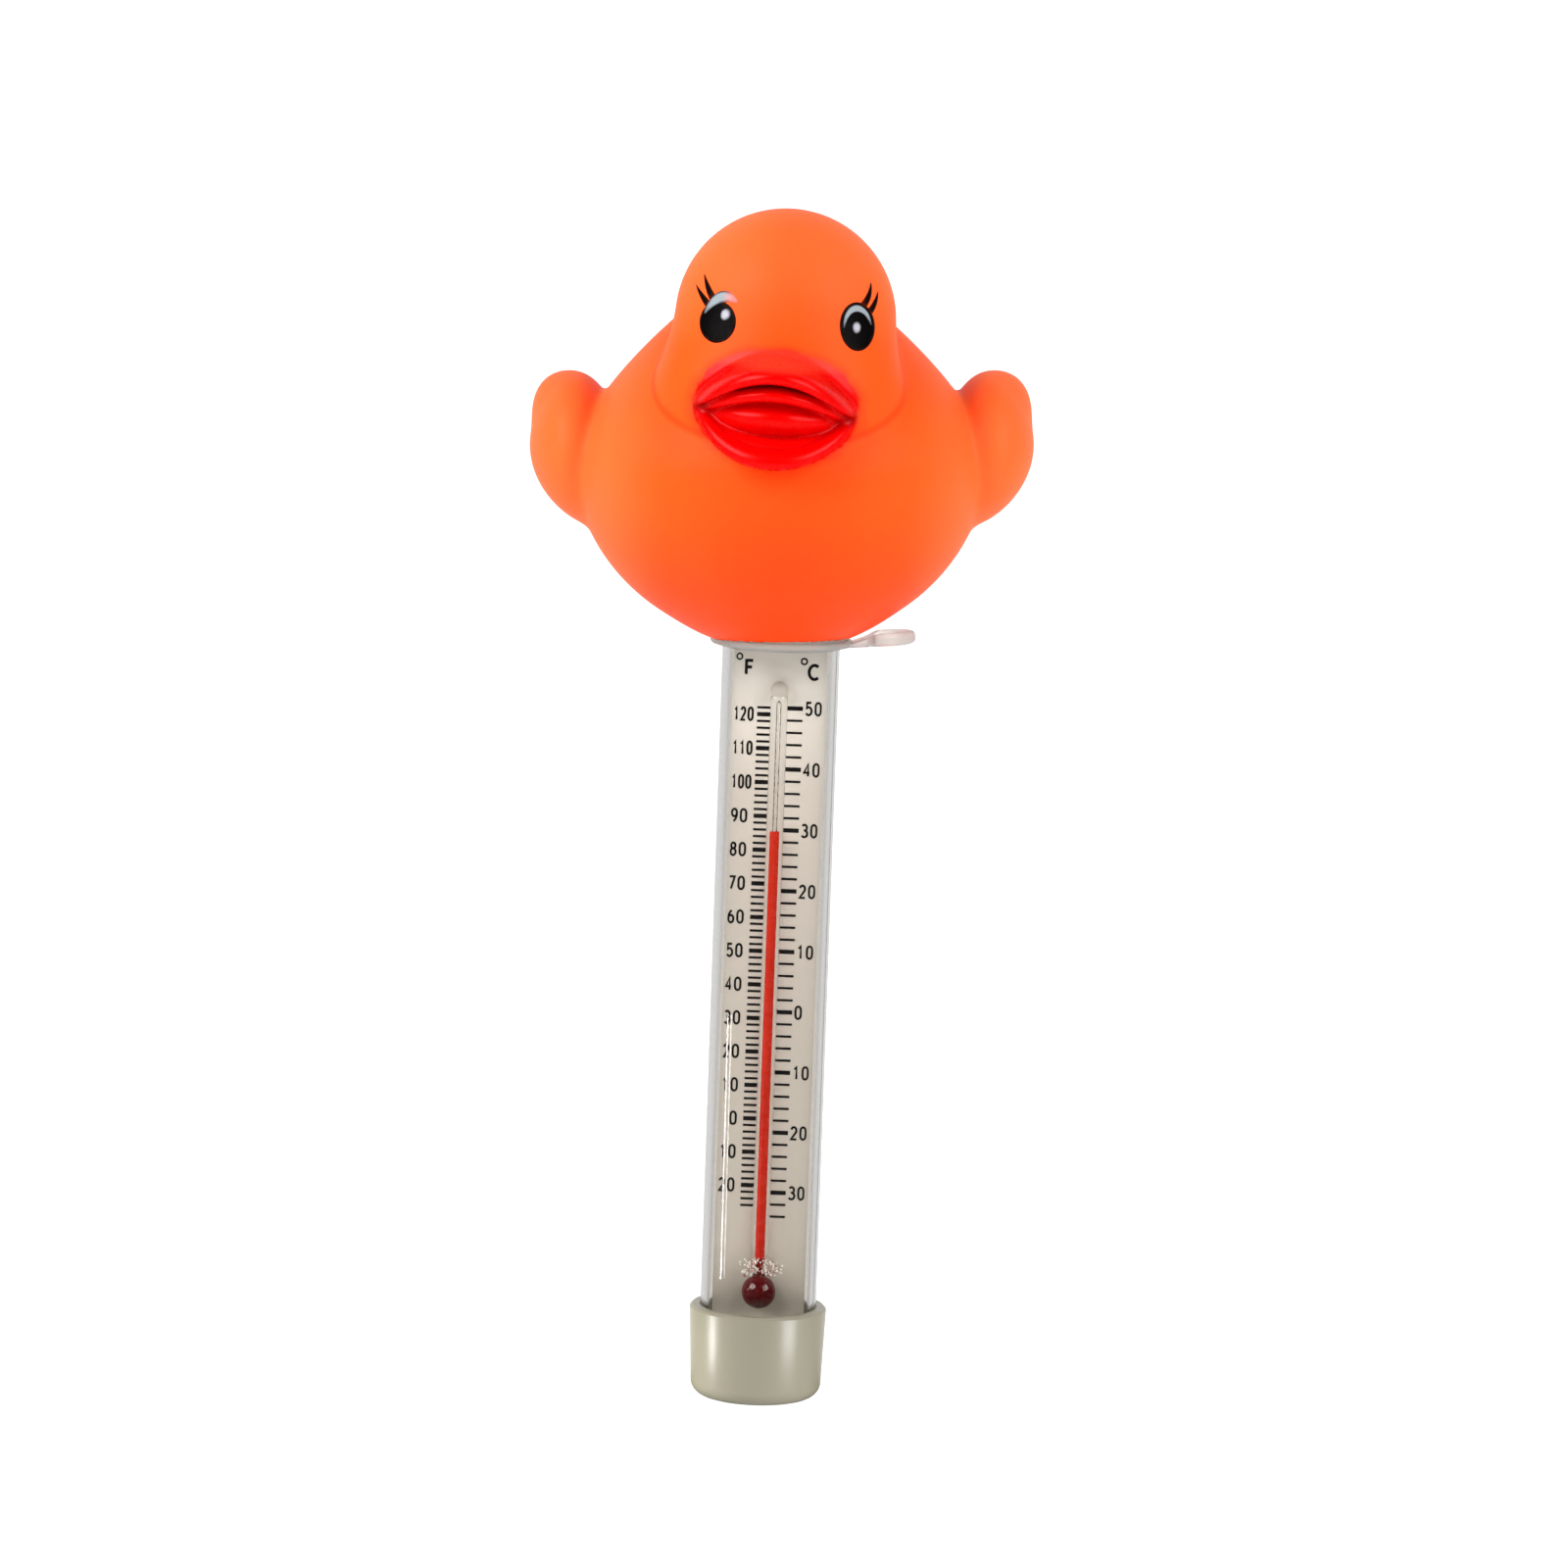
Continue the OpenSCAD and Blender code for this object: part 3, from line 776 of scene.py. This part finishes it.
GLYPHS = {
    "0": [(bow(0.5, 0.7, 0.5, 0.3, 0, 180) + bow(0.5, 0.3, 0.5, 0.3, 180, 360), True)],
    "1": [([(0.2, 0.78), (0.58, 1), (0.58, 0)], False)],
    "2": [(bow(0.48, 0.72, 0.46, 0.28, 165, -35) + [(0, 0), (1, 0)], False)],
    "3": [(bow(0.46, 0.76, 0.44, 0.24, 150, -80) + bow(0.46, 0.27, 0.54, 0.27, 85, -150), False)],
    "4": [([(0.74, 0), (0.74, 1), (0, 0.28), (1, 0.28)], False)],
    "5": [([(0.92, 1), (0.16, 1), (0.08, 0.55)] + bow(0.46, 0.32, 0.54, 0.32, 125, -150), False)],
    "6": [(bow(0.5, 0.3, 0.5, 0.3, 0, 360, 24)[:-1], True), (bow(0.95, 0.3, 0.95, 0.72, 180, 108), False)],
    "7": [([(0, 1), (1, 1), (0.32, 0)], False)],
    "8": [
        (bow(0.5, 0.77, 0.42, 0.23, 0, 360, 22)[:-1], True),
        (bow(0.5, 0.27, 0.5, 0.27, 0, 360, 24)[:-1], True),
    ],
    "9": [(bow(0.5, 0.7, 0.5, 0.3, 0, 360, 24)[:-1], True), (bow(0.05, 0.7, 0.95, 0.72, 0, -72), False)],
    "F": [([(0, 0), (0, 1), (1, 1)], False), ([(0, 0.53), (0.85, 0.53)], False)],
    "C": [(bow(0.52, 0.5, 0.52, 0.5, 48, 312, 24), False)],
    "ring": [(bow(0.5, 0.5, 0.5, 0.5, 0, 360, 28)[:-1], True)],
}


def stroke(points, width, closed, verts, faces):
    """Adds a flat bar of even width along points in the plane of the card, with mitred corners."""
    p = np.array(points, float)
    before, after = np.roll(p, 1, 0), np.roll(p, -1, 0)
    if not closed:
        before[0], after[-1] = p[0] - (p[1] - p[0]), p[-1] + (p[-1] - p[-2])
    d0, d1 = p - before, after - p
    d0 /= np.linalg.norm(d0, axis=1, keepdims=True)
    d1 /= np.linalg.norm(d1, axis=1, keepdims=True)
    mean = d0 + d1
    mean /= np.maximum(np.linalg.norm(mean, axis=1, keepdims=True), 1e-6)
    side = np.stack((-mean[:, 1], mean[:, 0]), -1)
    reach = width / 2 / np.maximum((mean * d1).sum(1), 0.6)
    left, right = p + side * reach[:, None], p - side * reach[:, None]
    first, n = len(verts), len(p)
    for x, z in [*left, *right]:
        verts.append((x, CARD_Y - INK_PROUD, z))
    for x, z in [*left, *right]:
        verts.append((x, CARD_Y + INK_PROUD, z))
    for i in range(n if closed else n - 1):
        a, b = first + i, first + (i + 1) % n
        c, d = a + n, b + n
        back = 2 * n
        faces += [(a, c, d, b), (a + back, b + back, d + back, c + back)]
        faces += [(a, b, b + back, a + back), (c, c + back, d + back, d)]
    if not closed:
        for a, flip in ((first, False), (first + n - 1, True)):
            end = (a, a + 2 * n, a + 3 * n, a + n)
            faces.append(end[::-1] if flip else end)


def glyph(name, x, z, width, height, weight, verts, faces):
    """Draws a glyph whose ink fills width and height, with its lower left corner at (x, z)."""
    for points, closed in GLYPHS[name]:
        placed = [
            (x + weight / 2 + u * (width - weight), z + weight / 2 + v * (height - weight)) for u, v in points
        ]
        stroke(placed, weight, closed, verts, faces)


def number(text, edge, z, right_aligned, verts, faces):
    """A number centred on height z, from its left or its right edge."""
    width, gap = (1.05, 0.17) if len(text) > 2 else (1.27, 0.3)
    x = edge - (len(text) * (width + gap) - gap) if right_aligned else edge
    for digit in text:
        glyph(digit, x, z - DIGIT_H / 2, width, DIGIT_H, STROKE, verts, faces)
        x += width + gap


def make_print():
    verts, faces = [], []
    thin, bold = 0.38, 0.7
    for celsius in range(-34, 51, 2):
        z = MARK30_Z + celsius - 30
        weight = bold if celsius % 10 == 0 else thin
        stroke([(1.28, z), (3.95, z)], weight, False, verts, faces)
        if celsius % 10 == 0:
            number(str(abs(celsius)), 4.3, z, False, verts, faces)
    for fahrenheit in range(-26, 123, 2):
        z = MARK30_Z + (fahrenheit - 32) / 1.8 - 30
        weight = bold if fahrenheit % 10 == 0 else thin
        stroke([(-3.55, z), (-1.17, z)], weight, False, verts, faces)
        if fahrenheit % 10 == 0:
            edge = -4.1 if fahrenheit >= 100 else -4.6
            number(str(abs(fahrenheit)), edge, z, True, verts, faces)
    glyph("ring", -7.42, MARK30_Z + 27.6, 1.24, 1.24, 0.28, verts, faces)
    glyph("F", -5.85, MARK30_Z + 25.1, 1.6, 2.75, 0.5, verts, faces)
    glyph("ring", 3.28, MARK30_Z + 27.1, 1.24, 1.24, 0.28, verts, faces)
    glyph("C", 4.5, MARK30_Z + 24.6, 2.25, 2.8, 0.5, verts, faces)
    ink = mesh_object("scale_print", verts, faces, INK, smooth=False)
    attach(ink, BODY)


# ---- the capillary, its liquid and the glue ----------------------------------

BORE_R = 0.27
NECK_Z = BULB_Z + BULB_R + 0.2
NECK_R = 0.95
TAPER_Z = NECK_Z + 3.2


def make_stem():
    """Drawn glass: the bulb, the neck and the stem, with a fine bore up the middle."""
    neck_angle = 90 - math.degrees(math.asin(NECK_R / BULB_R))
    outer = [(0, BULB_Z - BULB_R)] + arc(0, BULB_Z, BULB_R, -84, neck_angle, 28)
    outer += [
        (NECK_R + (STEM_R - NECK_R) * (3 * t * t - 2 * t ** 3), NECK_Z + (TAPER_Z - NECK_Z) * t)
        for t in np.linspace(0.05, 1, 9)
    ]
    outer += arc(0, TIP_Z - STEM_R, STEM_R, 0, 84, 9) + [(0, TIP_Z)]
    bore = [(0, TAPER_Z), (BORE_R, TAPER_Z + 0.3), (BORE_R, TIP_Z - 2), (0, TIP_Z - 1.4)]
    verts, faces = lathe(outer, 96)
    inner_verts, inner_faces = lathe(bore, 32)
    n = len(verts)
    faces += [tuple(i + n for i in reversed(f)) for f in inner_faces]
    stem = mesh_object("capillary_stem", verts + inner_verts, faces, GLASS)
    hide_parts("capillary_glass")
    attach(stem, BODY)


def make_liquid():
    """The bulb's liquid with its neck, and the thread up to the top of the CAD column."""
    neck = [(0.24, NECK_Z + 0.1), (0.26, NECK_Z + 0.7), (0.44, NECK_Z + 1.7), (THREAD_R - 0.01, NECK_Z + 2.6)]
    top = [(THREAD_R - 0.01, NECK_Z + 5.6), (0, NECK_Z + 5.6)]
    pool = [(0, BULB_Z - LIQUID_R)] + arc(0, BULB_Z, LIQUID_R, -84, 84, 26)
    bulb = mesh_object("bulb_liquid", *lathe(pool + neck + top, 64), BULB_SPIRIT)
    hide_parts("spirit_bulb")
    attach(bulb, BODY)
    low = [(0, NECK_Z + 0.9), (0.2, NECK_Z + 1), (0.43, NECK_Z + 1.8), (THREAD_R, NECK_Z + 2.7)]
    sides = [(THREAD_R, z) for z in np.linspace(NECK_Z + 3.5, MARK30_Z - 0.15, 90)]
    crown = [(THREAD_R - 0.06, MARK30_Z), (0, MARK30_Z - 0.12)]
    thread = mesh_object("spirit_thread", *lathe(low + sides + crown, 48), SPIRIT_RED)
    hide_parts("spirit_column")
    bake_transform(thread)


def make_glue():
    """The clear blob round the bulb's neck, with small bubbles and specks in it."""
    spots = np.random.default_rng(7)
    ball, quads = lathe([(0, -1)] + arc(0, 0, 1, -84, 84, 20) + [(0, 1)], 40)
    ball = np.array(ball)
    turn = np.arctan2(ball[:, 2], ball[:, 0])
    lumps = 1 + 0.06 * np.sin(5 * turn + 1) + 0.04 * np.sin(9 * turn)
    blob_at, blob_size = (0.2, CARD_Y - 0.7, NECK_Z + 0.7), (3.1, 1.5, 2.1)
    blob = mesh_object("glue_blob", ball * lumps[:, None] * blob_size + blob_at, quads, CLEAR_GLUE)
    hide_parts("glue_bottom")
    pieces = [blob]
    grains = (("glue_bubbles", 110, BUBBLE, 3.3), ("glue_specks", 60, SPECK, 2.6))
    for name, count, material, spread in grains:
        verts, faces = [], []
        for _ in range(count):
            angle = spots.uniform(0, math.pi)
            x = spots.uniform(0.9, spread) * math.cos(angle) * 1.15
            z = NECK_Z - 0.9 + abs(math.sin(angle)) * 1.4 + spots.uniform(0, 2.4)
            size = spots.uniform(0.07, 0.17)
            if math.hypot(x, z - BULB_Z) < BULB_R + size:
                continue
            y = CARD_Y - 1.6 - spots.uniform(0, 0.5)
            ball, quads = lathe([(0, -size)] + arc(0, 0, size, -60, 60, 4) + [(0, size)], 10)
            n = len(verts)
            verts += [(x + a, y + b, z + c) for a, b, c in ball]
            faces += [tuple(i + n for i in f) for f in quads]
        pieces.append(mesh_object(name, verts, faces, material))
    for piece in pieces:
        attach(piece, BODY)


# ---- camera, light and floor ------------------------------------------------


def dress_frame():
    """New materials for the CAD nodes that stay in view."""
    looks = {
        "tube": TUBE, "scale_card": CARD, "top_cap": MILKY, "bottom_cap": CAP, "belly_bond": CLEAR_GLUE,
        "glue_top": WHITE_GLUE, "card_holder": HOLDER, "bottom_plug": HOLDER,
        "top_seal": RUBBER, "bottom_seal": RUBBER, "ballast_balls": STEEL,
    }
    for name, material in looks.items():
        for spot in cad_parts[name].material_slots:
            spot.material = material


def make_stage():
    """A pale floor that curves up into a backdrop. Mirrored in gloss, only its far part is bright."""
    paper = Shader("floor")
    paper.set(Roughness=0.95, Specular_IOR_Level=0.1, Emission_Color=(1, 1, 1, 1))
    split = paper.node("ShaderNodeSeparateXYZ")
    paper.link(paper.coords, split.inputs[0])
    mirrored = paper.node("ShaderNodeLightPath").outputs["Glossy Depth"]
    side = paper.node("ShaderNodeMath", operation="ABSOLUTE")
    paper.link(split.outputs["X"], side.inputs[0])
    bearing = paper.node("ShaderNodeMath", operation="DIVIDE")
    paper.link(split.outputs["Y"], bearing.inputs[0])
    paper.link(side.outputs[0], bearing.inputs[1])
    glow = paper.node("ShaderNodeMapRange")
    glow.inputs["To Min"].default_value = 0.95
    paper.link(mirrored, glow.inputs["Value"])
    paper.link(paper.ramp(bearing.outputs[0], 0.3, 1.1, 0.0, 0.95), glow.inputs["To Max"])
    paper.into(glow.outputs["Result"], "Emission Strength")
    base = paper.mix(paper.noise(3), grey(0.33), grey(0.37))
    paper.into(paper.mix(mirrored, base, grey(0.01)), "Base Color")
    profile = [(-2.2, 0)] + [(1.6 + x, z + 0.8) for x, z in arc(0, 0, 0.8, -90, 0, 12)] + [(2.4, 3.4)]
    verts = [(x / MM, y / MM, z / MM) for x in (-4, 4) for y, z in profile]
    n = len(profile)
    faces = [(i, i + n, i + n + 1, i + 1) for i in range(n - 1)]
    floor = mesh_object("floor", verts, faces, paper.material)


def area_light(name, place, target, size, power):
    data = bpy.data.lights.new(name, "AREA")
    data.shape = "RECTANGLE"
    data.size, data.size_y = size
    data.energy = power
    light = bpy.data.objects.new(name, data)
    light.location = place
    light.rotation_euler = (Vector(target) - Vector(place)).to_track_quat("-Z", "Y").to_euler()
    bpy.context.collection.objects.link(light)
    return light


def make_world():
    """White behind, dim in front and darker at the sides, so that clear parts keep their outlines."""
    world = bpy.data.worlds.new("world")
    world.use_nodes = True
    tree = world.node_tree
    coords = tree.nodes.new("ShaderNodeTexCoord")
    split = tree.nodes.new("ShaderNodeSeparateXYZ")
    side = tree.nodes.new("ShaderNodeMath")
    side.operation = "ABSOLUTE"
    both = tree.nodes.new("ShaderNodeMath")
    both.operation = "MULTIPLY"
    tree.links.new(coords.outputs["Generated"], split.inputs[0])
    tree.links.new(split.outputs["X"], side.inputs[0])
    bands = ((side.outputs[0], 0.75, 0.97, 1.0, 0.25), (split.outputs["Y"], -0.6, 0.1, 0.3, 1.0))
    for socket, (source, *numbers) in zip(both.inputs, bands):
        shade = tree.nodes.new("ShaderNodeMapRange")
        for key, value in zip(("From Min", "From Max", "To Min", "To Max"), numbers):
            shade.inputs[key].default_value = value
        tree.links.new(source, shade.inputs["Value"])
        tree.links.new(shade.outputs[0], socket)
    tree.links.new(both.outputs[0], tree.nodes["Background"].inputs["Strength"])
    bpy.context.scene.world = world


CAMERA_AT = (0.00125, -1.0561, 0.2412)
CAMERA_PITCH, CAMERA_ROLL = math.radians(7.55), math.radians(2.02)
LENS, SENSOR = 150.6, 36


def make_camera():
    data = bpy.data.cameras.new("camera")
    data.sensor_width = SENSOR
    data.lens = LENS
    camera = bpy.data.objects.new("camera", data)
    camera.matrix_world = (
        Matrix.Translation(CAMERA_AT)
        @ Matrix.Rotation(math.pi / 2 - CAMERA_PITCH, 4, "X")
        @ Matrix.Rotation(CAMERA_ROLL, 4, "Z")
    )
    bpy.context.collection.objects.link(camera)
    bpy.context.scene.camera = camera


make_duck()
make_eyes()
make_print()
make_stem()
make_liquid()
make_glue()
dress_frame()
make_stage()
make_camera()
make_world()
centre = (0, 0, 0.12)
area_light("key", (-0.9, -0.6, 0.85), centre, (1.0, 0.8), 23)
area_light("fill", (1.0, -0.65, 0.8), centre, (1.0, 0.8), 17)
for name, place, size, power, tilt in (
    ("tube_strip", (-0.0784, -0.014, 0.0285), (0.004, 0.047), 0.013, 8),
    ("cap_strip_left", (-0.028, -0.0108, 0.005), (0.005, 0.009), 0.0036, 0),
    ("cap_strip_right", (0.0302, -0.0262, 0.0038), (0.014, 0.007), 0.005, 0),
):
    strip = area_light(name, place, (0, 0, place[2]), size, power)
    strip.rotation_euler.rotate_axis("Z", math.radians(tilt))
    strip.visible_camera = False
bpy.context.scene.view_settings.view_transform = "Standard"
